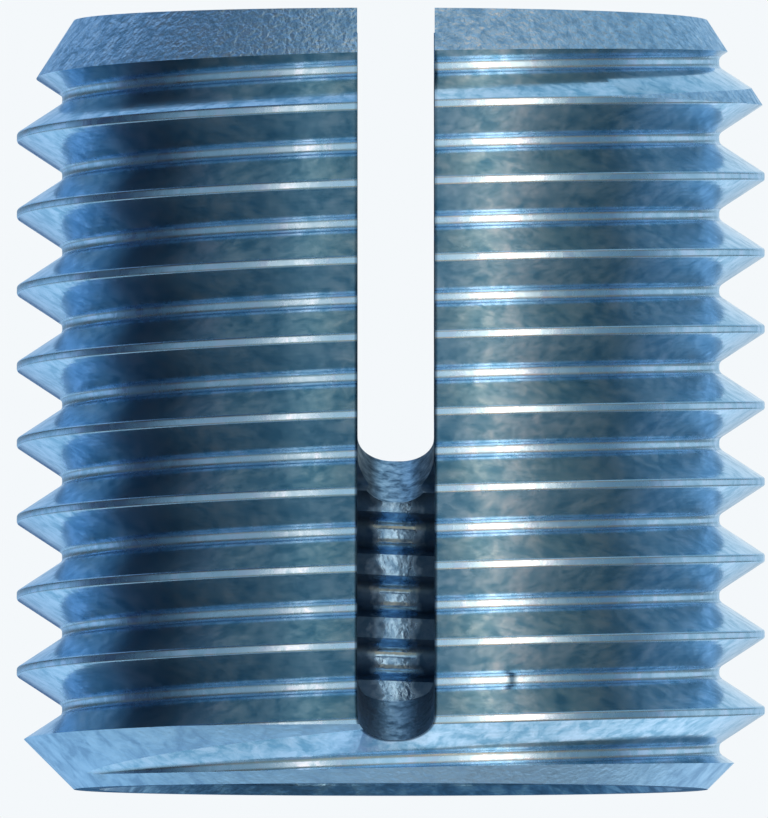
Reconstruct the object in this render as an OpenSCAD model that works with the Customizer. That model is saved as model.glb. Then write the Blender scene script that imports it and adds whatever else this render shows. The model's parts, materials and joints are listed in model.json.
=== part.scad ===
// Slotted threaded insert: a steel sleeve with a thread outside and another in its bore.
// It is turned, threaded, tapped and slotted as one piece, so it is one solid.
//
// The origin is the centre of the plain outer end, on the axis. +Z runs along the axis to the
// slotted lead end. The slot's deep side faces -Y. All lengths are in millimetres.

/* [Body] */
// Length from the outer end's face to the lead end's face
body_l = 12.8; // [9:0.1:25]
// Diameter of the lead end's flat face
lead_face_d = 10.55; // [10.2:0.05:11.5]
// Slope of the cone behind the lead face, from the axis
lead_cone_angle = 33; // [20:1:50]
// Diameter of the outer end's flat face
outer_face_d = 10.55; // [10.2:0.05:11.5]
// Slope of the chamfer round the outer face, from the axis
outer_chamfer_angle = 45; // [25:1:60]

/* [Outer thread] */
// Diameter over the crests
thread_d = 12.45; // [12:0.05:15]
// Distance from one crest to the next along the axis
thread_pitch = 1.27; // [1:0.01:1.8]
// Depth of the thread from crest to root
thread_depth = 0.77; // [0.3:0.01:0.9]
// Width of the flat along each crest
crest_flat = 0.1; // [0.02:0.01:0.3]
// Direction round the axis in which a crest meets the outer face's plane
thread_start_angle = -13; // [-180:1:180]

/* [Bore] */
// Diameter of the bore, which is the inner thread's minor diameter
bore_d = 8.45; // [6:0.05:9]
// Diameter of the countersink at each mouth of the bore
mouth_d = 9.7; // [9.1:0.05:10]
// Slope of the countersinks, from the axis
mouth_angle = 45; // [30:1:60]

/* [Inner thread] */
// Distance from one groove to the next along the axis
inner_pitch = 1.058; // [0.95:0.002:1.5]
// Depth of the groove from the bore's wall
inner_depth = 0.475; // [0.2:0.005:0.55]
// Angle between the groove's two flanks
inner_flank_angle = 60; // [50:1:65]
// Width of the flat along the bottom of the groove
inner_flat = 0.06; // [0.02:0.02:0.12]
// Direction round the axis in which a groove meets the outer face's plane
inner_start_angle = 40; // [-180:1:180]

/* [Slot] */
// Width of the slot across the lead end
slot_w = 1.28; // [0.8:0.01:2]
// Width of the flat strip between the two rounded corners of the slot's floor
slot_flat_w = 0.12; // [0.02:0.02:0.7]
// Distance of the slot's middle from the axis, towards +X
slot_offset = 0.085; // [-0.5:0.005:0.5]
// Height of the slot's floor above the outer face, at the crests on the deep side
slot_deep_h = 0.54; // [0.3:0.02:4]
// Height of the slot's floor above the outer face, at the crests on the shallow side
slot_shallow_h = 5.73; // [4.5:0.05:8]

/* [Hidden] */

$fn = 96;
steel_blue = "#8FB4D2";
// How far a cutting shape runs past what it cuts
overrun = 1;

thread_r = thread_d / 2;
root_r = thread_r - thread_depth;
blank_r = thread_r + overrun;
lead_face_r = lead_face_d / 2;
outer_face_r = outer_face_d / 2;
lead_cone_h = (blank_r - lead_face_r) / tan(lead_cone_angle);
outer_chamfer_h = (blank_r - outer_face_r) / tan(outer_chamfer_angle);

bore_r = bore_d / 2;
mouth_r = mouth_d / 2;
mouth_h = (mouth_r - bore_r) / tan(mouth_angle);

// The tap is a threaded rod whose crests cut the groove and whose roots stay inside the bore.
tap_crest_r = bore_r + inner_depth;
tap_root_r = tap_crest_r - (inner_pitch - inner_flat) / 2 / tan(inner_flank_angle / 2);

// The slot's floor is one slope from the deep side up to the shallow side.
slot_tilt = atan((slot_shallow_h - slot_deep_h) / thread_d);
slot_middle_h = (slot_deep_h + slot_shallow_h) / 2;
slot_corner_r = (slot_w - slot_flat_w) / 2;
slot_section_h = body_l + thread_d;
slot_run = 2 * slot_section_h;

// Flat steps round the axis in each thread
outer_segments = 72;
inner_segments = 48;

// A rod with a single right-hand thread, a pitch or more longer than the body at each end.
// Each pitch of its outline has three corners: the root and the crest flat's two edges.
// Its surface is a grid of upright columns of those corners. The last column joins the first
// one a whole pitch higher, which closes the helix.
module threaded_rod(crest_r, root_r, pitch, flat, start_angle, segments) {
    flank_h = (pitch - flat) / 2;
    outline_corners = [[root_r, 0], [crest_r, flank_h], [crest_r, flank_h + flat]];
    corner_count = len(outline_corners);
    turn_count = ceil(body_l / pitch) + 3;
    column_points = turn_count * corner_count;

    // Height at which the outline starts in a direction, below the outer face
    function outline_start(angle) = pitch * ((angle - start_angle) / 360 - 2) - pitch / 2;

    // One corner of the outline in a direction, counted up from the lowest turn
    function thread_point(angle, k) =
        let (
            corner = outline_corners[k % corner_count],
            z = outline_start(angle) + floor(k / corner_count) * pitch + corner[1]
        )
        [corner[0] * cos(angle), corner[0] * sin(angle), z];

    step_angle = 360 / segments;
    last_column = segments - 1;
    side_points = [
        for (column = [0 : last_column], k = [0 : column_points - 1])
            thread_point(column * step_angle, k)
    ];
    bottom_centre = len(side_points);
    top_centre = bottom_centre + 1;
    end_points = [
        [0, 0, outline_start(0)],
        [0, 0, outline_start(360) + turn_count * pitch]
    ];
    function at(column, k) =
        column > last_column ? k + corner_count : column * column_points + k;
    function rows(column) =
        column == last_column ? column_points - corner_count : column_points;
    side_faces = [
        for (column = [0 : last_column], k = [0 : rows(column) - 2])
            each [
                [at(column, k), at(column, k + 1), at(column + 1, k + 1)],
                [at(column, k), at(column + 1, k + 1), at(column + 1, k)]
            ]
    ];
    bottom_faces = concat(
        [for (column = [0 : last_column]) [bottom_centre, at(column, 0), at(column + 1, 0)]],
        [for (k = [0 : corner_count - 1]) [bottom_centre, at(0, k + 1), at(0, k)]]
    );
    top_k = column_points - 1;
    last_k = top_k - corner_count;
    top_faces = concat(
        [for (column = [0 : last_column - 1]) [top_centre, at(column + 1, top_k), at(column, top_k)]],
        [[top_centre, at(0, top_k), at(last_column, last_k)]],
        [for (k = [last_k : top_k - 1]) [top_centre, at(last_column, k), at(last_column, k + 1)]]
    );
    polyhedron(
        points = concat(side_points, end_points),
        faces = concat(side_faces, bottom_faces, top_faces)
    );
}

// The rod from which the outside is cut, threaded before its ends are trimmed
module outer_threaded_rod() {
    threaded_rod(thread_r, root_r, thread_pitch, crest_flat, thread_start_angle, outer_segments);
}

// The turned envelope: flat ends, the lead cone and the outer chamfer
module blank() {
    rotate_extrude()
        polygon([
            [0, 0],
            [outer_face_r, 0],
            [blank_r, outer_chamfer_h],
            [blank_r, body_l - lead_cone_h],
            [lead_face_r, body_l],
            [0, body_l]
        ]);
}

// The helical groove that a tap cuts in the bore's wall
module tapped_groove_cut() {
    threaded_rod(tap_crest_r, tap_root_r, inner_pitch, inner_flat, inner_start_angle, inner_segments);
}

// The bore with a countersink at each mouth
module bore_cut() {
    flare_r = mouth_r + overrun * tan(mouth_angle);
    rotate_extrude()
        polygon([
            [0, -overrun],
            [flare_r, -overrun],
            [bore_r, mouth_h],
            [bore_r, body_l - mouth_h],
            [flare_r, body_l + overrun],
            [0, body_l + overrun]
        ]);
}

// The slot's cross-section: straight sides and a floor with two rounded corners
module slot_section() {
    translate([-slot_w / 2, slot_corner_r])
        square([slot_w, slot_section_h]);
    translate([-slot_flat_w / 2, 0])
        square([slot_flat_w, 2 * slot_corner_r]);
    for (side = [-1, 1])
        translate([side * slot_flat_w / 2, slot_corner_r])
            circle(slot_corner_r);
}

// The sloping slot across the lead end
module slot_cut() {
    translate([slot_offset, 0, slot_middle_h])
        rotate([90 + slot_tilt, 0, 0])
            linear_extrude(height = slot_run, center = true)
                slot_section();
}

module insert_body() {
    color(steel_blue)
        difference() {
            intersection() {
                outer_threaded_rod();
                blank();
            }
            bore_cut();
            tapped_groove_cut();
            slot_cut();
        }
}

insert_body();
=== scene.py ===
import json
import math

import bpy
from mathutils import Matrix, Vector


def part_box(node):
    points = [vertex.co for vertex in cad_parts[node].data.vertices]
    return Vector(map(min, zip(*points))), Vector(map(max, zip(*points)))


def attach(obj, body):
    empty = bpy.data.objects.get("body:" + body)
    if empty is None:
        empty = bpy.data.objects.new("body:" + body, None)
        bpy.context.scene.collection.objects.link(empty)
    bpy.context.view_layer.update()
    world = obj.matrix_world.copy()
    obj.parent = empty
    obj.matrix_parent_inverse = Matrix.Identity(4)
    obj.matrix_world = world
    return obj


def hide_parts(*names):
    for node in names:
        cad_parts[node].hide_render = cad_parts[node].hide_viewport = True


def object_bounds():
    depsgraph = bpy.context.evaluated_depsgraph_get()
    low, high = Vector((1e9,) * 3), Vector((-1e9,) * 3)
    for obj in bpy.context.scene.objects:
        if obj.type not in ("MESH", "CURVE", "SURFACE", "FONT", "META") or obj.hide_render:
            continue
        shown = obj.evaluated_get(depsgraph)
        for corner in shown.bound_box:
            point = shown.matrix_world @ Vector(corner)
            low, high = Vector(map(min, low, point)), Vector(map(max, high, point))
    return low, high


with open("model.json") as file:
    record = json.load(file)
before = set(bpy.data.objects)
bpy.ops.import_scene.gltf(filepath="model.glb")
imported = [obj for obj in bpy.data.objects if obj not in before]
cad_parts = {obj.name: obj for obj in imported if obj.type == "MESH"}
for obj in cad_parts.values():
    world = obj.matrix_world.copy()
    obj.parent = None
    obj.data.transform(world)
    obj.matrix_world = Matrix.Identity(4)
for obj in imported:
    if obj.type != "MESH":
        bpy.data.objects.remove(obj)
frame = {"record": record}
cad_low, cad_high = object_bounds()

# ---------------------------------------------------------------------------------------------
# Camera
# It looks along +Y at the slot's deep side, level with the insert's middle and from a little
# below it, through a long lens.
# ---------------------------------------------------------------------------------------------

MM = 0.001
CAMERA_ELEVATION = math.radians(-1.77)
LENS = 1600
SENSOR = 36
PICTURE_HEIGHT = 13.616 * MM
# The insert stands this much right of the picture's middle, and this much above it
PICTURE_OFFSET = (0.112 * MM, 0.066 * MM)
NEAREST_SEEN = 0.01
FARTHEST_SEEN = 10

bpy.context.scene.view_settings.view_transform = "Standard"
middle = (cad_low + cad_high) / 2
middle.x = middle.y = 0
camera_distance = LENS * PICTURE_HEIGHT / SENSOR
look = Vector((0, math.cos(CAMERA_ELEVATION), -math.sin(CAMERA_ELEVATION)))
up = Vector((0, math.sin(CAMERA_ELEVATION), math.cos(CAMERA_ELEVATION)))
aim = middle - Vector((PICTURE_OFFSET[0], 0, 0)) - up * PICTURE_OFFSET[1]
bpy.ops.object.camera_add(location=aim - look * camera_distance,
                          rotation=(math.pi / 2 - CAMERA_ELEVATION, 0, 0))
camera = bpy.context.object
camera.name = "camera"
camera.data.lens = LENS
camera.data.sensor_width = SENSOR
camera.data.clip_start = NEAREST_SEEN
camera.data.clip_end = FARTHEST_SEEN
bpy.context.scene.camera = camera

# ---------------------------------------------------------------------------------------------
# Studio
# A pale floor and surroundings. The metal mirrors a light tent that is open to a dim room in
# front, with a soft lamp on each side of the opening. The tent's colours are uneven: they were
# fitted so that the metal's light and dark bands fall in place.
# ---------------------------------------------------------------------------------------------


def linear(hex_colour):
    """An sRGB colour written as six hex digits, as the linear RGBA that shaders take."""
    channels = [int(hex_colour[i : i + 2], 16) / 255 for i in (0, 2, 4)]
    return [c / 12.92 if c <= 0.04045 else ((c + 0.055) / 1.055) ** 2.4 for c in channels] + [1]


def add_node(tree, kind, inputs=None, stops=None, **settings):
    """Adds one shader node, with its settings, its colour stops, and its inputs set or linked."""
    made = tree.nodes.new(kind)
    for name, value in settings.items():
        setattr(made, name, value)
    for socket, value in (inputs or {}).items():
        if isinstance(value, bpy.types.NodeSocket):
            tree.links.new(value, made.inputs[socket])
        else:
            made.inputs[socket].default_value = value
    if stops:
        elements = made.color_ramp.elements
        while len(elements) < len(stops):
            elements.new(0.5)
        for element, (place, colour) in zip(elements, stops):
            element.position = place
            element.color = (*colour, 1)
    return made


PALE = "F4F8FB"
FILL_COLOUR = [0.75, 0.77, 0.8, 1]
# Half the height of the soft edge between the wall and what lies beyond it
WALL_EDGE = 0.04

world = bpy.data.worlds.new("light_tent")
bpy.context.scene.world = world
world.use_nodes = True
tree = world.node_tree
tree.nodes.clear()
direction = add_node(tree, "ShaderNodeTexCoord").outputs["Generated"]
parts = add_node(tree, "ShaderNodeSeparateXYZ", {0: direction})
# Azimuth is 0 straight in front, towards the camera, and grows towards +X
front = add_node(tree, "ShaderNodeMath", {0: parts.outputs["Y"], 1: -1.0}, operation="MULTIPLY")
azimuth = add_node(tree, "ShaderNodeMath", {0: parts.outputs["X"], 1: front.outputs[0]},
                   operation="ARCTAN2")
half = add_node(tree, "ShaderNodeMath", {0: azimuth.outputs[0], 1: 0.5}, operation="MULTIPLY")
facing = add_node(tree, "ShaderNodeMath", {0: half.outputs[0]}, operation="COSINE")
# The tent's walls get lower towards the back, so that each slope of the insert mirrors one
# level of them all the way round. Height is 1 at the level that a slope of 45 degrees mirrors.
height = add_node(tree, "ShaderNodeMath", {0: parts.outputs["Z"], 1: facing.outputs[0]},
                  operation="DIVIDE")
turn = add_node(tree, "ShaderNodeMapRange", {0: azimuth.outputs[0], 1: -math.pi, 2: math.pi}).outputs[0]
lift = add_node(tree, "ShaderNodeMapRange", {0: height.outputs[0], 1: -1.0, 2: 1.0}).outputs[0]


def round_the_tent(stops):
    """Colour stops from pairs of an azimuth in degrees and a brightness of each colour."""
    return [(degrees / 360 + 0.5, colour) for degrees, colour in stops]


def up_the_tent(stops):
    """Colour stops from pairs of a height and a share."""
    return [(height / 2 + 0.5, (share, share, share)) for height, share in stops]


# Level with the insert: a bright bluish wall behind, and a plainer strip of wall in front
wall = add_node(tree, "ShaderNodeValToRGB", {0: turn}, stops=round_the_tent([
    (-180, (0.42, 0.56, 0.7)), (-129, (0.6, 0.78, 0.95)), (-115, (0.5, 0.67, 0.87)),
    (-110, (0.04, 0.07, 0.13)), (-93, (0.02, 0.045, 0.09)), (-84, (0.045, 0.09, 0.13)),
    (-76, (0.13, 0.19, 0.23)), (-68, (0.36, 0.45, 0.5)), (-45, (0.34, 0.42, 0.46)),
    (-20, (0.46, 0.6, 0.64)), (-10, (0.55, 0.66, 0.68)), (-7, (1.1, 1.15, 1.15)), (7, (1.1, 1.15, 1.15)),
    (10, (0.6, 0.7, 0.72)), (22, (0.64, 0.76, 0.77)), (48, (0.5, 0.6, 0.6)), (60, (0.23, 0.36, 0.4)),
    (86, (0.12, 0.22, 0.29)), (98, (0.68, 0.78, 0.86)), (112, (0.95, 1, 1)), (180, (0.76, 0.88, 0.95))]))
# How high the wall reaches, in the first number, and how low, in the second
wall_reach = add_node(tree, "ShaderNodeValToRGB", {0: turn}, stops=round_the_tent([
    (-180, (0.08, 0.4, 0)), (-125, (0.14, 0.42, 0)), (-105, (0.24, 0.42, 0)), (-60, (0.34, 0.42, 0)),
    (60, (0.36, 0.42, 0)), (100, (0.34, 0.3, 0)), (140, (0.3, 0.12, 0)), (180, (0.3, 0.12, 0))]))
# Above and below the wall: the tent behind, and the dim room in front with the lamps' warm glow
room_above = add_node(tree, "ShaderNodeValToRGB", {0: turn}, stops=round_the_tent([
    (-180, (0.5, 0.65, 0.8)), (-152, (0.18, 0.2, 0.21)), (-140, (0.13, 0.14, 0.14)),
    (-124, (0.11, 0.18, 0.2)), (-114, (0.14, 0.17, 0.19)), (-106, (0.07, 0.07, 0.08)),
    (-88, (0.03, 0.03, 0.03)), (-70, (0.13, 0.11, 0.09)), (-58, (0.18, 0.16, 0.13)),
    (-46, (0.19, 0.19, 0.16)), (-38, (0.23, 0.26, 0.22)), (-29, (0.32, 0.34, 0.28)),
    (-20, (0.42, 0.37, 0.29)), (-10, (0.52, 0.42, 0.31)), (20, (0.65, 0.52, 0.4)),
    (28, (0.86, 0.65, 0.46)), (36, (1.95, 1.08, 0.65)), (45, (1.2, 0.68, 0.44)), (60, (0.42, 0.32, 0.23)),
    (88, (0.19, 0.17, 0.13)), (101, (0.34, 0.31, 0.28)), (111, (0.35, 0.35, 0.34)),
    (124, (0.31, 0.35, 0.34)), (140, (0.26, 0.29, 0.28)), (152, (0.38, 0.43, 0.43)),
    (162, (0.8, 0.92, 0.95)), (180, (0.9, 1, 1))]))
room_below = add_node(tree, "ShaderNodeValToRGB", {0: turn}, stops=round_the_tent([
    (-180, (0.5, 0.65, 0.8)), (-152, (0.36, 0.45, 0.52)), (-140, (0.4, 0.41, 0.4)),
    (-128, (0.34, 0.4, 0.42)), (-119, (0.19, 0.25, 0.28)), (-108, (0.02, 0.025, 0.035)),
    (-88, (0.04, 0.04, 0.04)), (-70, (0.24, 0.2, 0.18)), (-60, (0.4, 0.32, 0.24)),
    (-46, (0.25, 0.26, 0.22)), (-36, (0.47, 0.45, 0.35)), (-29, (0.78, 0.65, 0.45)),
    (-20, (0.62, 0.51, 0.35)), (-10, (0.52, 0.41, 0.29)), (20, (0.6, 0.45, 0.32)),
    (28, (0.97, 0.68, 0.43)), (36, (2.15, 1.3, 0.76)), (45, (1.9, 1.02, 0.62)), (60, (0.4, 0.33, 0.22)),
    (88, (0.2, 0.17, 0.13)), (102, (0.36, 0.34, 0.3)), (113, (0.39, 0.39, 0.35)),
    (124, (0.38, 0.39, 0.37)), (140, (0.28, 0.31, 0.29)), (152, (0.38, 0.43, 0.43)),
    (162, (0.8, 0.92, 0.95)), (180, (0.9, 1, 1))]))
# Overhead
canopy = add_node(tree, "ShaderNodeValToRGB", {0: turn}, stops=round_the_tent([
    (-180, (0.55, 0.7, 0.85)), (-152, (0.5, 0.66, 0.84)), (-130, (0.45, 0.62, 0.82)),
    (-116, (0.02, 0.06, 0.12)), (-70, (0.02, 0.06, 0.12)), (-40, (0.15, 0.31, 0.45)),
    (-10, (0.52, 0.66, 0.74)), (30, (0.54, 0.66, 0.72)), (85, (0.48, 0.6, 0.64)), (125, (0.36, 0.5, 0.56)),
    (150, (0.6, 0.76, 0.84)), (166, (0.95, 1, 1)), (180, (0.95, 1, 1))]))
# Underneath
table = add_node(tree, "ShaderNodeValToRGB", {0: turn}, stops=round_the_tent([
    (-180, (0.06, 0.12, 0.25)), (-174, (0.06, 0.12, 0.25)), (-171, (0.55, 0.7, 0.85)),
    (-158, (0.75, 0.93, 1.05)), (-138, (0.64, 0.76, 0.83)), (-124, (0.62, 0.72, 0.76)),
    (-116, (0.44, 0.54, 0.56)), (-110, (0.2, 0.28, 0.31)), (-104, (0.36, 0.42, 0.46)),
    (-60, (0.3, 0.36, 0.4)), (60, (0.2, 0.24, 0.26)), (102, (0.1, 0.11, 0.12)), (108, (0.34, 0.36, 0.4)),
    (113, (0.34, 0.37, 0.4)), (119, (0.12, 0.15, 0.14)), (126, (0.22, 0.3, 0.33)),
    (131, (0.5, 0.55, 0.58)), (141, (0.8, 0.86, 0.88)), (150, (1.12, 1.18, 1.2)),
    (160, (1.08, 1.14, 1.16)), (168, (0.8, 0.86, 0.88)), (180, (0.6, 0.66, 0.7))]))
# How much of each part shows at a height: the room, then the wall, the canopy and the table over it
wall_reach = add_node(tree, "ShaderNodeSeparateColor", {0: wall_reach.outputs[0]})
over = add_node(tree, "ShaderNodeMath", {0: height.outputs[0], 1: wall_reach.outputs[0]},
                operation="SUBTRACT")
depth = add_node(tree, "ShaderNodeMath", {0: height.outputs[0], 1: -1.0}, operation="MULTIPLY")
under = add_node(tree, "ShaderNodeMath", {0: depth.outputs[0], 1: wall_reach.outputs[1]},
                 operation="SUBTRACT")
beyond = add_node(tree, "ShaderNodeMath", {0: over.outputs[0], 1: under.outputs[0]}, operation="MAXIMUM")
by_wall = add_node(tree, "ShaderNodeMapRange", {
    0: beyond.outputs[0], 1: -WALL_EDGE, 2: WALL_EDGE, 3: 1.0, 4: 0.0})
by_canopy = add_node(tree, "ShaderNodeValToRGB", {0: lift},
                     stops=up_the_tent([(-1, 0), (0.86, 0), (0.93, 1), (1, 1)]))
by_table = add_node(tree, "ShaderNodeValToRGB", {0: lift},
                    stops=up_the_tent([(-1, 1), (-0.985, 1), (-0.93, 0), (1, 0)]))
above = add_node(tree, "ShaderNodeMath", {0: parts.outputs["Z"], 1: 0.0}, operation="GREATER_THAN")
tent = add_node(tree, "ShaderNodeMix", {
    0: above.outputs[0], 6: room_below.outputs[0], 7: room_above.outputs[0]}, data_type="RGBA")
for share, part in ((by_wall, wall), (by_canopy, canopy), (by_table, table)):
    tent = add_node(tree, "ShaderNodeMix", {
        0: share.outputs[0], 6: tent.outputs[2], 7: part.outputs[0]}, data_type="RGBA")
# The metal mirrors the tent, all else gets a plain fill, and the camera sees a pale backdrop
light_path = add_node(tree, "ShaderNodeLightPath")
mirrored = add_node(tree, "ShaderNodeMath", {
    0: light_path.outputs["Is Glossy Ray"], 1: light_path.outputs["Is Transmission Ray"]},
    operation="MAXIMUM")
lit = add_node(tree, "ShaderNodeMix", {0: mirrored.outputs[0], 6: FILL_COLOUR, 7: tent.outputs[2]},
               data_type="RGBA")
seen = add_node(tree, "ShaderNodeMix", {
    0: light_path.outputs["Is Camera Ray"], 6: lit.outputs[2], 7: linear(PALE)}, data_type="RGBA")
background = add_node(tree, "ShaderNodeBackground", {"Color": seen.outputs[2], "Strength": 1.0})
add_node(tree, "ShaderNodeOutputWorld", {"Surface": background.outputs[0]})

# The floor: a pale matt board just under the insert. It is clear when seen from below, and
# the metal mirrors the tent in its place.
FLOOR_SIZE = 4
FLOOR_GAP = 0.01 * MM
bpy.ops.object.select_all(action="DESELECT")
bpy.ops.mesh.primitive_plane_add(size=FLOOR_SIZE, location=(0, 0, 0))
floor = bpy.context.object
floor.name = "floor"
bpy.ops.object.mode_set(mode="EDIT")
bpy.ops.transform.translate(value=(0, 0, cad_low.z - FLOOR_GAP))
bpy.ops.object.mode_set(mode="OBJECT")
board = bpy.data.materials.new("pale_matt_board")
board.use_nodes = True
tree = board.node_tree
tree.nodes.clear()
light_path = add_node(tree, "ShaderNodeLightPath")
geometry = add_node(tree, "ShaderNodeNewGeometry")
clear = add_node(tree, "ShaderNodeMath", {
    0: light_path.outputs["Is Camera Ray"], 1: geometry.outputs["Backfacing"]}, operation="MULTIPLY")
for ray in ("Is Glossy Ray", "Is Transmission Ray", "Is Shadow Ray"):
    clear = add_node(tree, "ShaderNodeMath", {0: clear.outputs[0], 1: light_path.outputs[ray]},
                     operation="MAXIMUM")
matt = add_node(tree, "ShaderNodeBsdfDiffuse", {"Color": linear(PALE)})
gap = add_node(tree, "ShaderNodeBsdfTransparent")
surface = add_node(tree, "ShaderNodeMixShader", {0: clear.outputs[0], 1: matt.outputs[0], 2: gap.outputs[0]})
add_node(tree, "ShaderNodeOutputMaterial", {"Surface": surface.outputs[0]})
floor.data.materials.append(board)

# The lamps: a narrow warm one on each side of the tent's opening, and a faint one overhead that
# the metal doesn't mirror
LAMP_COLOUR = (1, 0.61, 0.41)
LAMP_DISTANCE = 0.3


def soft_lamp(name, azimuth, elevation, width, height, radiance):
    """A flat soft lamp that faces the insert. Radiance is how bright its face looks."""
    azimuth, elevation = math.radians(azimuth), math.radians(elevation)
    away = Vector((math.sin(azimuth) * math.cos(elevation),
                   -math.cos(azimuth) * math.cos(elevation),
                   math.sin(elevation)))
    bpy.ops.object.light_add(type="AREA", location=middle + away * LAMP_DISTANCE)
    made = bpy.context.object
    made.name = name
    made.rotation_euler = away.to_track_quat("Z", "Y").to_euler()
    made.data.shape = "RECTANGLE"
    made.data.size = width
    made.data.size_y = height
    made.data.energy = radiance * math.pi * width * height
    made.data.color = LAMP_COLOUR
    made.visible_camera = False
    return made


soft_lamp("left_lamp", azimuth=-29, elevation=0, width=0.052, height=0.22, radiance=2.6)
soft_lamp("right_lamp", azimuth=37.5, elevation=0, width=0.094, height=0.22, radiance=4.8)
top_lamp = soft_lamp("top_lamp", azimuth=20, elevation=72, width=0.2, height=0.2, radiance=1.0)
top_lamp.visible_glossy = False

# ---------------------------------------------------------------------------------------------
# Insert body
# One steel sleeve: turned and bored on a lathe, threaded outside and inside, then slotted from
# its lead end with a cutter that comes in at a slant. It is zinc plated after that, which gives
# a bright bluish skin that is matt only where the lathe left the metal rough.
# ---------------------------------------------------------------------------------------------

low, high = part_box("insert_body")
body_l = high.z - low.z
crest_r = high.x
mounts = {m["name"]: m for m in frame["record"]["mounts"]}
bore_r = mounts["inner_thread"]["dims"]["r_mm"] * MM
# How far a cutting shape runs past what it cuts
OVERRUN = 1 * MM
# Points closer than this are one point
MERGE_GAP = 0.0005 * MM
SHARP_EDGE = math.radians(30)

OUTER_PITCH = 1.27 * MM
OUTER_DEPTH = 0.755 * MM
CREST_FLAT = 0.07 * MM
ROOT_FLAT = 0.05 * MM
OUTER_START = math.radians(-13)
CREST_ROUND = 0.05 * MM
ROOT_ROUND = 0.1 * MM
OUTER_STEPS = 180

INNER_PITCH = 1.058 * MM
INNER_MAJOR_R = 4.7 * MM
INNER_THREAD_ANGLE = math.radians(60)
INNER_FLAT = 0.1 * MM
GROOVE_ROUND = 0.22 * MM
TAP_ROOT_ROUND = 0.02 * MM
INNER_START = math.radians(40)
INNER_STEPS = 120

LEAD_FACE_R = 5.275 * MM
LEAD_CONE_ANGLE = math.radians(33)
OUTER_FACE_R = 5.275 * MM
OUTER_CHAMFER_ANGLE = math.radians(45)
MOUTH_R = 4.85 * MM
MOUTH_ANGLE = math.radians(45)
BLANK_STEPS = 180

SLOT_W = 1.28 * MM
SLOT_FLAT_W = 0.12 * MM
SLOT_OFFSET = 0.085 * MM
SLOT_DEEP_H = 0.54 * MM
SLOT_SHALLOW_H = 5.73 * MM
SLOT_CORNER_STEPS = 12


def in_edit_mode(piece):
    """Makes a piece the only one selected, and starts editing it."""
    bpy.ops.object.select_all(action="DESELECT")
    piece.select_set(True)
    bpy.context.view_layer.objects.active = piece
    bpy.ops.object.mode_set(mode="EDIT")


def draw_outline(name, points):
    """A chain of edges: one vertex at the first point, extruded from point to point."""
    bpy.ops.object.select_all(action="DESELECT")
    bpy.ops.mesh.primitive_plane_add(size=MM, location=(0, 0, 0))
    piece = bpy.context.object
    piece.name = name
    bpy.ops.object.mode_set(mode="EDIT")
    bpy.ops.mesh.select_mode(type="VERT")
    bpy.ops.mesh.select_all(action="SELECT")
    bpy.ops.mesh.merge(type="CENTER")
    bpy.ops.transform.translate(value=points[0])
    for start, end in zip(points, points[1:]):
        step = [b - a for a, b in zip(start, end)]
        bpy.ops.mesh.extrude_region_move(TRANSFORM_OT_translate={"value": step})
    bpy.ops.object.mode_set(mode="OBJECT")
    return piece


def apply_modifier(piece, kind, **settings):
    """Adds a modifier with its settings, and applies it."""
    bpy.ops.object.select_all(action="DESELECT")
    piece.select_set(True)
    bpy.context.view_layer.objects.active = piece
    bpy.ops.object.modifier_add(type=kind)
    modifier = piece.modifiers[-1]
    for name, value in settings.items():
        setattr(modifier, name, value)
    bpy.ops.object.modifier_apply(modifier=modifier.name)


def arc(centre_r, centre_z, radius, start, end, steps):
    """Points on an arc in the plane of the axis, from one angle to another in degrees."""
    angles = [math.radians(start + (end - start) * i / steps) for i in range(steps + 1)]
    return [(centre_r + radius * math.cos(a), 0, centre_z + radius * math.sin(a)) for a in angles]


def thread_outline(crest, root, pitch, flats, rounds, steps=4):
    """One pitch of a thread, from the middle of a root, over the crest, to the next root."""
    # Flats and rounds are those of the crest and the root. The flanks run straight between them.
    start_h = flats[1] / 2
    rise_h = (pitch - flats[0] - flats[1]) / 2
    rise_r = crest - root - sum(rounds)
    lean = math.acos(sum(rounds) / math.hypot(rise_h, rise_r)) - math.atan2(rise_r, rise_h)
    turn = 90 - math.degrees(lean)
    valley = arc(root + rounds[1], start_h, rounds[1], 180, 180 - turn, steps)
    shoulder = arc(crest - rounds[0], start_h + rise_h, rounds[0], -turn, 0, steps)
    rise = [(root, 0, 0)] + valley + shoulder
    fall = [(r, 0, pitch - z) for r, _, z in reversed(rise)]
    return rise + fall


def threaded_rod(name, crest, root, pitch, flats, rounds, start, steps):
    """A closed rod with a right-hand thread, a turn or more longer than the body at each end."""
    turns = math.ceil(body_l / pitch) + 3
    outline = thread_outline(crest, root, pitch, flats, rounds)
    # A crest lies at the height that its direction round the axis gives
    first = -2.5 * pitch - pitch * start / (2 * math.pi)
    rod = draw_outline(name, [(r, 0, z + first) for r, _, z in outline])
    apply_modifier(rod, "SCREW", axis="Z", angle=2 * math.pi, screw_offset=pitch, iterations=turns,
                   steps=steps, render_steps=steps, use_merge_vertices=False, use_smooth_shade=False)
    in_edit_mode(rod)
    bpy.ops.mesh.select_mode(type="VERT")
    bpy.ops.mesh.select_all(action="SELECT")
    bpy.ops.mesh.remove_doubles(threshold=MERGE_GAP)
    bpy.ops.object.mode_set(mode="OBJECT")
    for end in (-1, 1):
        close_end(rod, end)
    in_edit_mode(rod)
    bpy.ops.mesh.select_all(action="SELECT")
    bpy.ops.mesh.normals_make_consistent(inside=False)
    bpy.ops.object.mode_set(mode="OBJECT")
    return rod


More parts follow.
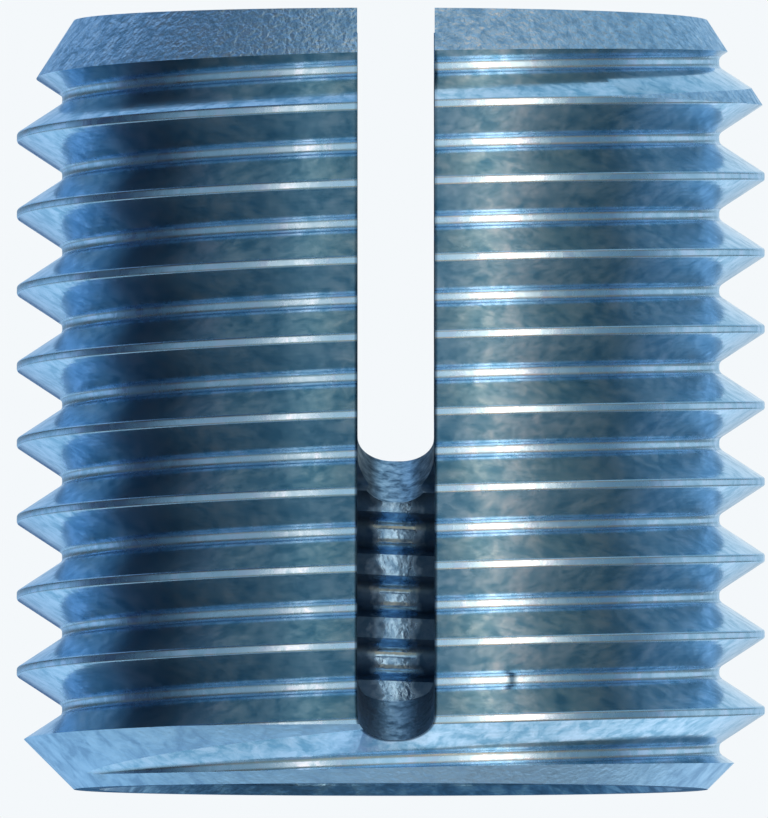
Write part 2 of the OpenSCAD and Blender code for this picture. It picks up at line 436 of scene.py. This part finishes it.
def close_end(rod, end):
    """Closes one end of a rod with a fan of faces to the axis. End is 1 for the top."""
    in_edit_mode(rod)
    bpy.ops.mesh.select_mode(type="VERT")
    bpy.ops.mesh.select_all(action="DESELECT")
    bpy.ops.mesh.select_non_manifold()
    bpy.ops.object.mode_set(mode="OBJECT")
    for v in rod.data.vertices:
        if v.select and (v.co.z > body_l / 2) != (end > 0):
            v.select = False
    for e in rod.data.edges:
        e.select = all(rod.data.vertices[i].select for i in e.vertices) and e.select
    bpy.ops.object.mode_set(mode="EDIT")
    bpy.ops.mesh.select_mode(type="EDGE")
    bpy.ops.mesh.extrude_edges_move()
    bpy.ops.mesh.merge(type="CENTER")
    bpy.ops.object.mode_set(mode="OBJECT")


def turned(name, outline, steps):
    """A closed shape turned from an outline whose last point joins its first."""
    piece = draw_outline(name, outline + outline[:1])
    apply_modifier(piece, "SCREW", axis="Z", angle=2 * math.pi, screw_offset=0,
                   steps=steps, render_steps=steps, use_merge_vertices=False, use_smooth_shade=False)
    in_edit_mode(piece)
    bpy.ops.mesh.select_all(action="SELECT")
    bpy.ops.mesh.remove_doubles(threshold=MERGE_GAP)
    bpy.ops.mesh.normals_make_consistent(inside=False)
    bpy.ops.object.mode_set(mode="OBJECT")
    return piece


def combine(piece, other, operation):
    """Applies a boolean with another piece, which is then removed."""
    apply_modifier(piece, "BOOLEAN", object=other, operation=operation, solver="MANIFOLD")
    bpy.data.objects.remove(other)


insert = threaded_rod("insert", crest_r, crest_r - OUTER_DEPTH, OUTER_PITCH,
                      (CREST_FLAT, ROOT_FLAT), (CREST_ROUND, ROOT_ROUND), OUTER_START, OUTER_STEPS)

# The turned envelope, with the lead cone, the outer chamfer and the countersunk bore
blank_r = crest_r + OVERRUN
lead_cone_h = (blank_r - LEAD_FACE_R) / math.tan(LEAD_CONE_ANGLE)
outer_chamfer_h = (blank_r - OUTER_FACE_R) / math.tan(OUTER_CHAMFER_ANGLE)
mouth_h = (MOUTH_R - bore_r) / math.tan(MOUTH_ANGLE)
blank = turned("blank", [
    (OUTER_FACE_R, 0, 0),
    (blank_r, 0, outer_chamfer_h),
    (blank_r, 0, body_l - lead_cone_h),
    (LEAD_FACE_R, 0, body_l),
    (MOUTH_R, 0, body_l),
    (bore_r, 0, body_l - mouth_h),
    (bore_r, 0, mouth_h),
    (MOUTH_R, 0, 0),
], BLANK_STEPS)
combine(insert, blank, "INTERSECT")

# The tap's crests cut the inner thread's groove, and its roots stay inside the bore
tap_depth = (INNER_PITCH - INNER_FLAT) / 2 / math.tan(INNER_THREAD_ANGLE / 2)
tap = threaded_rod("tap", INNER_MAJOR_R, INNER_MAJOR_R - tap_depth, INNER_PITCH,
                   (INNER_FLAT, INNER_FLAT), (GROOVE_ROUND, TAP_ROOT_ROUND), INNER_START, INNER_STEPS)
combine(insert, tap, "DIFFERENCE")

# The slot's cutter: an upright outline with two rounded corners, swept along the slope
slot_tilt = math.atan((SLOT_SHALLOW_H - SLOT_DEEP_H) / (2 * crest_r))
slot_middle = (SLOT_OFFSET, 0, (SLOT_DEEP_H + SLOT_SHALLOW_H) / 2)
slot_reach = body_l + 2 * crest_r
slot_corner_r = (SLOT_W - SLOT_FLAT_W) / 2
right_corner = arc(SLOT_FLAT_W / 2, slot_corner_r, slot_corner_r, -90, 0, SLOT_CORNER_STEPS)
right_side = right_corner + [(SLOT_W / 2, 0, slot_reach)]
left_side = [(-x, 0, z) for x, _, z in reversed(right_side)]
outline = [(x, -slot_reach, z) for x, _, z in right_side + left_side]
cutter = draw_outline("slot_cutter", outline + outline[:1])
in_edit_mode(cutter)
bpy.ops.mesh.select_all(action="SELECT")
bpy.ops.mesh.remove_doubles(threshold=MERGE_GAP)
bpy.ops.mesh.edge_face_add()
bpy.ops.mesh.extrude_region_move(TRANSFORM_OT_translate={"value": (0, 2 * slot_reach, 0)})
bpy.ops.mesh.select_all(action="SELECT")
bpy.ops.mesh.normals_make_consistent(inside=False)
bpy.ops.object.mode_set(mode="OBJECT")
cutter.rotation_euler = (slot_tilt, 0, 0)
cutter.location = slot_middle
bpy.ops.object.transform_apply(location=True, rotation=True, scale=True)
combine(insert, cutter, "DIFFERENCE")

bpy.ops.object.select_all(action="DESELECT")
insert.select_set(True)
bpy.context.view_layer.objects.active = insert
bpy.ops.object.shade_smooth_by_angle(angle=SHARP_EDGE)

# The edge tint keeps the blue on slopes that are seen at a slant
ZINC_EDGE = "DFEDF8"


def zinc_plate(name, shades, roughness, blotch, grain, grain_depth):
    """
    A material of blue-bright zinc plate on steel, with its dull, plain and bright shades in
    blotches, and a fine grain. Gives its tree, its place coordinates, its shader and its bump.
    """
    made = bpy.data.materials.new(name)
    made.use_nodes = True
    tree = made.node_tree
    tree.nodes.clear()
    place = add_node(tree, "ShaderNodeTexCoord").outputs["Object"]
    blotches = add_node(tree, "ShaderNodeTexNoise", {
        "Vector": place, "Scale": 1 / blotch, "Detail": 3.0, "Roughness": 0.6, "Distortion": 0.4})
    dull, plain, bright = [linear(shade)[:3] for shade in shades]
    colour = add_node(tree, "ShaderNodeValToRGB", {0: blotches.outputs[0]},
                      stops=[(0.36, dull), (0.5, plain), (0.64, bright)])
    # The film is a little rougher where it is duller
    wear = add_node(tree, "ShaderNodeMapRange", {
        0: blotches.outputs[0], 1: 0.35, 2: 0.65, 3: roughness * 1.25, 4: roughness * 0.8})
    shader = add_node(tree, "ShaderNodeBsdfPrincipled", {
        "Base Color": colour.outputs[0], "Metallic": 1.0, "Roughness": wear.outputs[0],
        "Specular Tint": linear(ZINC_EDGE)})
    grains = add_node(tree, "ShaderNodeTexNoise", {"Vector": place, "Scale": 1 / grain, "Detail": 2.0})
    bump = add_node(tree, "ShaderNodeBump", {"Height": grains.outputs[0], "Distance": grain_depth})
    tree.links.new(bump.outputs[0], shader.inputs["Normal"])
    add_node(tree, "ShaderNodeOutputMaterial", {"Surface": shader.outputs[0]})
    insert.data.materials.append(made)
    return tree, place, shader, bump


def sideways(tree, place):
    """A socket with the distance of a point from the slot's middle plane, in metres."""
    parts = add_node(tree, "ShaderNodeSeparateXYZ", {0: place})
    off = add_node(tree, "ShaderNodeMath", {0: parts.outputs[0], 1: SLOT_OFFSET}, operation="SUBTRACT")
    return add_node(tree, "ShaderNodeMath", {0: off.outputs[0]}, operation="ABSOLUTE").outputs[0]


def slot_distance(tree, place):
    """A socket with the distance of a point from the slot's cut, in metres."""
    from_slot = add_node(tree, "ShaderNodeVectorMath", {0: place, 1: slot_middle}, operation="SUBTRACT")
    uphill = add_node(tree, "ShaderNodeVectorMath", {
        0: from_slot.outputs[0], 1: (0, -math.sin(slot_tilt), math.cos(slot_tilt))},
        operation="DOT_PRODUCT")
    out = add_node(tree, "ShaderNodeMath", {0: sideways(tree, place), 1: SLOT_FLAT_W / 2},
                   operation="SUBTRACT")
    out = add_node(tree, "ShaderNodeMath", {0: out.outputs[0], 1: 0.0}, operation="MAXIMUM")
    down = add_node(tree, "ShaderNodeMath", {0: uphill.outputs["Value"], 1: slot_corner_r},
                    operation="SUBTRACT")
    down = add_node(tree, "ShaderNodeMath", {0: down.outputs[0], 1: 0.0}, operation="MINIMUM")
    from_corner = add_node(tree, "ShaderNodeCombineXYZ", {0: out.outputs[0], 1: down.outputs[0]})
    from_corner = add_node(tree, "ShaderNodeVectorMath", {0: from_corner.outputs[0]}, operation="LENGTH")
    return add_node(tree, "ShaderNodeMath", {0: from_corner.outputs["Value"], 1: slot_corner_r},
                    operation="SUBTRACT").outputs[0]


def darken(tree, shader, amount, shade):
    """Mixes a dark shade into a shader's colour by an amount from 0 to 1."""
    base = shader.inputs["Base Color"]
    mixed = add_node(tree, "ShaderNodeMix", {
        0: amount, 6: base.links[0].from_socket, 7: linear(shade)}, data_type="RGBA")
    tree.links.new(mixed.outputs[2], base)


def spot(tree, place, centre, reach):
    """A share that is 1 inside a soft-edged ellipsoid. Centre and reach are in millimetres."""
    away = add_node(tree, "ShaderNodeVectorMath", {0: place, 1: [v * MM for v in centre]},
                    operation="SUBTRACT")
    away = add_node(tree, "ShaderNodeVectorMath", {0: away.outputs[0], 1: [v * MM for v in reach]},
                    operation="DIVIDE")
    away = add_node(tree, "ShaderNodeVectorMath", {0: away.outputs[0]}, operation="LENGTH")
    return add_node(tree, "ShaderNodeMapRange", {
        0: away.outputs["Value"], 1: 0.4, 2: 1.3, 3: 1.0, 4: 0.0}).outputs[0]


def darken_slot_edge(tree, place, shader):
    """
    A darker line in the colour along the slot's edge, which fades towards the lead end.
    A dark spot sits at the slot's right edge near the lead end.
    """
    edge = add_node(tree, "ShaderNodeMapRange", {
        0: slot_distance(tree, place), 1: 0.02 * MM, 2: 0.055 * MM, 3: 0.9, 4: 0.0})
    parts = add_node(tree, "ShaderNodeSeparateXYZ", {0: place})
    fade = add_node(tree, "ShaderNodeMapRange", {
        0: parts.outputs[2], 1: 6 * MM, 2: 12 * MM, 3: 1.0, 4: 0.3})
    edge = add_node(tree, "ShaderNodeMath", {0: edge.outputs[0], 1: fade.outputs[0]},
                    operation="MULTIPLY")
    darken(tree, shader, edge.outputs[0], "2A4058")
    darken(tree, shader, spot(tree, place, (0.74, -6.1, 11.75), (0.05, 1, 0.3)), "16222E")


def helical_marks(tree, place, pitch, counts):
    """Tool marks that run along a thread: a wave for each count of marks in a pitch."""
    parts = add_node(tree, "ShaderNodeSeparateXYZ", {0: place})
    angle = add_node(tree, "ShaderNodeMath", {0: parts.outputs[1], 1: parts.outputs[0]},
                     operation="ARCTAN2")
    climb = add_node(tree, "ShaderNodeMath", {0: parts.outputs[2], 1: 2 * math.pi / pitch},
                     operation="MULTIPLY")
    phase = add_node(tree, "ShaderNodeMath", {0: climb.outputs[0], 1: angle.outputs[0]},
                     operation="SUBTRACT")
    total = None
    for count in counts:
        wave = add_node(tree, "ShaderNodeMath", {0: phase.outputs[0], 1: float(count)}, operation="MULTIPLY")
        wave = add_node(tree, "ShaderNodeMath", {0: wave.outputs[0]}, operation="SINE")
        if total:
            wave = add_node(tree, "ShaderNodeMath", {0: wave.outputs[0], 1: total.outputs[0]},
                            operation="ADD")
        total = wave
    return total.outputs[0]


# A face this near to a cut's surface is part of it
NEAR = 0.004 * MM
# The upright part of a face's normal is more than this on the flat ends
END_SLOPE = 0.99
# It is more than this on the flanks, and less on the crests and roots
FLANK_SLOPE = 0.8
# The materials' places in the piece, in the order in which they are made below
FLANK, ROUND, CONE, CHAMFER, END, MOUTH, MILLED, TAPPED = range(8)


def slot_gap(place):
    """How far a point is from the slot's surface."""
    along = place - Vector(slot_middle)
    side = abs(along.x)
    rise = along.z * math.cos(slot_tilt) - along.y * math.sin(slot_tilt)
    corner = Vector((SLOT_FLAT_W / 2, slot_corner_r))
    if rise > slot_corner_r:
        return abs(side - SLOT_W / 2)
    if side < corner.x:
        return abs(rise)
    return abs((Vector((side, rise)) - corner).length - slot_corner_r)


def surface_kind(face):
    """Which of the materials a face of the insert has, by its place and its normal."""
    place, normal = face.center, face.normal
    radius = math.hypot(place.x, place.y)
    cone_r = LEAD_FACE_R + (body_l - place.z) * math.tan(LEAD_CONE_ANGLE)
    chamfer_r = OUTER_FACE_R + place.z * math.tan(OUTER_CHAMFER_ANGLE)
    if slot_gap(place) < NEAR and radius > bore_r:
        return MILLED
    if radius < MOUTH_R:
        return TAPPED if mouth_h < place.z < body_l - mouth_h else MOUTH
    if abs(normal.z) > END_SLOPE:
        return END
    if abs(radius - cone_r) < NEAR:
        return CONE
    if abs(radius - chamfer_r) < NEAR:
        return CHAMFER
    return FLANK if abs(normal.z) > FLANK_SLOPE else ROUND


insert.data.materials.clear()

# Bright zinc over a flank that a threading tool cut: it mirrors the tent nearly sharply, in
# blotches of duller and brighter blue, with fine marks along the thread
tree, place, shader, bump = zinc_plate(
    "zinc_on_thread_flanks", ("7EB0D1", "A3C9E6", "B9D7F2"),
    roughness=0.16, blotch=0.3 * MM, grain=0.12 * MM, grain_depth=0.0015 * MM)
marks = helical_marks(tree, place, OUTER_PITCH, (9, 23))
bump = add_node(tree, "ShaderNodeBump", {
    "Height": marks, "Distance": 0.0001 * MM, "Normal": bump.outputs[0]})
tree.links.new(bump.outputs[0], shader.inputs["Normal"])
darken_slot_edge(tree, place, shader)

# The same zinc on the rounded crests and roots: it is softer there, so each lamp's image spreads
# into a pale line with uneven edges
tree, place, shader, _ = zinc_plate(
    "zinc_on_crests_and_roots", ("98C2E0", "A3C9E6", "B0CCEA"),
    roughness=0.26, blotch=0.3 * MM, grain=0.15 * MM, grain_depth=0.002 * MM)
darken_slot_edge(tree, place, shader)
# A nick in one root, near the outer end
darken(tree, shader, spot(tree, place, (2.0, -5.4, 1.75), (0.09, 1, 0.3)), "3A5A76")

# Zinc over the rough lead cone: a matt, grainy light blue
zinc_plate(
    "zinc_on_lead_cone", ("82B2DA", "9DC9EE", "B4D6F4"),
    roughness=0.44, blotch=0.22 * MM, grain=0.09 * MM, grain_depth=0.035 * MM)

# Zinc over the outer chamfer, which a finer cut left smoother: an even satin light blue
zinc_plate(
    "zinc_on_outer_chamfer", ("92C0E8", "9FCCF0", "A6D0F2"),
    roughness=0.42, blotch=0.4 * MM, grain=0.1 * MM, grain_depth=0.01 * MM)

# The end faces were faced off. Their zinc and its edge tint are painted darker: painted shade for the shade
# under the insert, on both ends.
_, _, shader, _ = zinc_plate(
    "zinc_on_end_faces_painted_shade", ("3F6A92", "5C8AB0", "86B0D0"),
    roughness=0.4, blotch=0.5 * MM, grain=0.15 * MM, grain_depth=0.01 * MM)
shader.inputs["Specular Tint"].default_value = linear("7898B4")

# The countersinks at the bore's mouths: their zinc is painted dark blue, as painted shade inside the mouths.
zinc_plate(
    "zinc_in_countersinks_painted_shade", ("3A6388", "447199", "5E8AAC"),
    roughness=0.38, blotch=0.35 * MM, grain=0.1 * MM, grain_depth=0.012 * MM)

# Zinc over the slot's milled walls and floor: duller, with painted shade in the floor's corners, which is
# heavier towards the shallow side
tree, place, shader, _ = zinc_plate(
    "zinc_on_milled_slot", ("557A98", "789FBE", "92B6D2"),
    roughness=0.45, blotch=0.2 * MM, grain=0.08 * MM, grain_depth=0.012 * MM)
corner_shade = add_node(tree, "ShaderNodeMapRange", {
    0: sideways(tree, place), 1: 0.24 * MM, 2: 0.42 * MM, 3: 0.0, 4: 0.95})
parts = add_node(tree, "ShaderNodeSeparateXYZ", {0: place})
back = add_node(tree, "ShaderNodeMapRange", {0: parts.outputs[1], 1: -5 * MM, 2: 0.0, 3: 0.0, 4: 1.0})
corner_shade = add_node(tree, "ShaderNodeMath", {0: corner_shade.outputs[0], 1: back.outputs[0]}, operation="MULTIPLY")
darken(tree, shader, corner_shade.outputs[0], "1E3446")

# The zinc in the tapped bore is dark and dull outside a ragged strip in line with the slot. The strip is
# painted light, for the light that comes in through the slot, and it is also smoother.
tree, place, shader, _ = zinc_plate(
    "zinc_in_tapped_bore", ("80A4C2", "9FBFD8", "B2CEE3"),
    roughness=0.16, blotch=0.2 * MM, grain=0.08 * MM, grain_depth=0.003 * MM)
ragged = add_node(tree, "ShaderNodeTexNoise", {"Vector": place, "Scale": 1 / (0.25 * MM), "Detail": 3.0})
shift = add_node(tree, "ShaderNodeMapRange", {
    0: ragged.outputs[0], 1: 0.3, 2: 0.7, 3: -0.12 * MM, 4: 0.12 * MM})
off = add_node(tree, "ShaderNodeMath", {0: sideways(tree, place), 1: shift.outputs[0]}, operation="ADD")
outside_light_strip = add_node(tree, "ShaderNodeMapRange", {0: off.outputs[0], 1: 0.22 * MM, 2: 0.42 * MM, 3: 0.0, 4: 1.0})
shade = add_node(tree, "ShaderNodeMath", {0: outside_light_strip.outputs[0], 1: 0.85}, operation="MULTIPLY")
darken(tree, shader, shade.outputs[0], "315A82")
# Painted shade in the bore beside the slot's shallow end
darken(tree, shader, spot(tree, place, (0.085, 4.2, 5.2), (0.9, 0.6, 0.32)), "16222E")
rough = add_node(tree, "ShaderNodeMath", {
    0: outside_light_strip.outputs[0], 1: 0.4, 2: shader.inputs["Roughness"].links[0].from_socket},
    operation="MULTIPLY_ADD")
tree.links.new(rough.outputs[0], shader.inputs["Roughness"])

# Each face gets the zinc of the surface that it lies in
for face in insert.data.polygons:
    face.material_index = surface_kind(face)

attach(insert, "root")
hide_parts("insert_body")
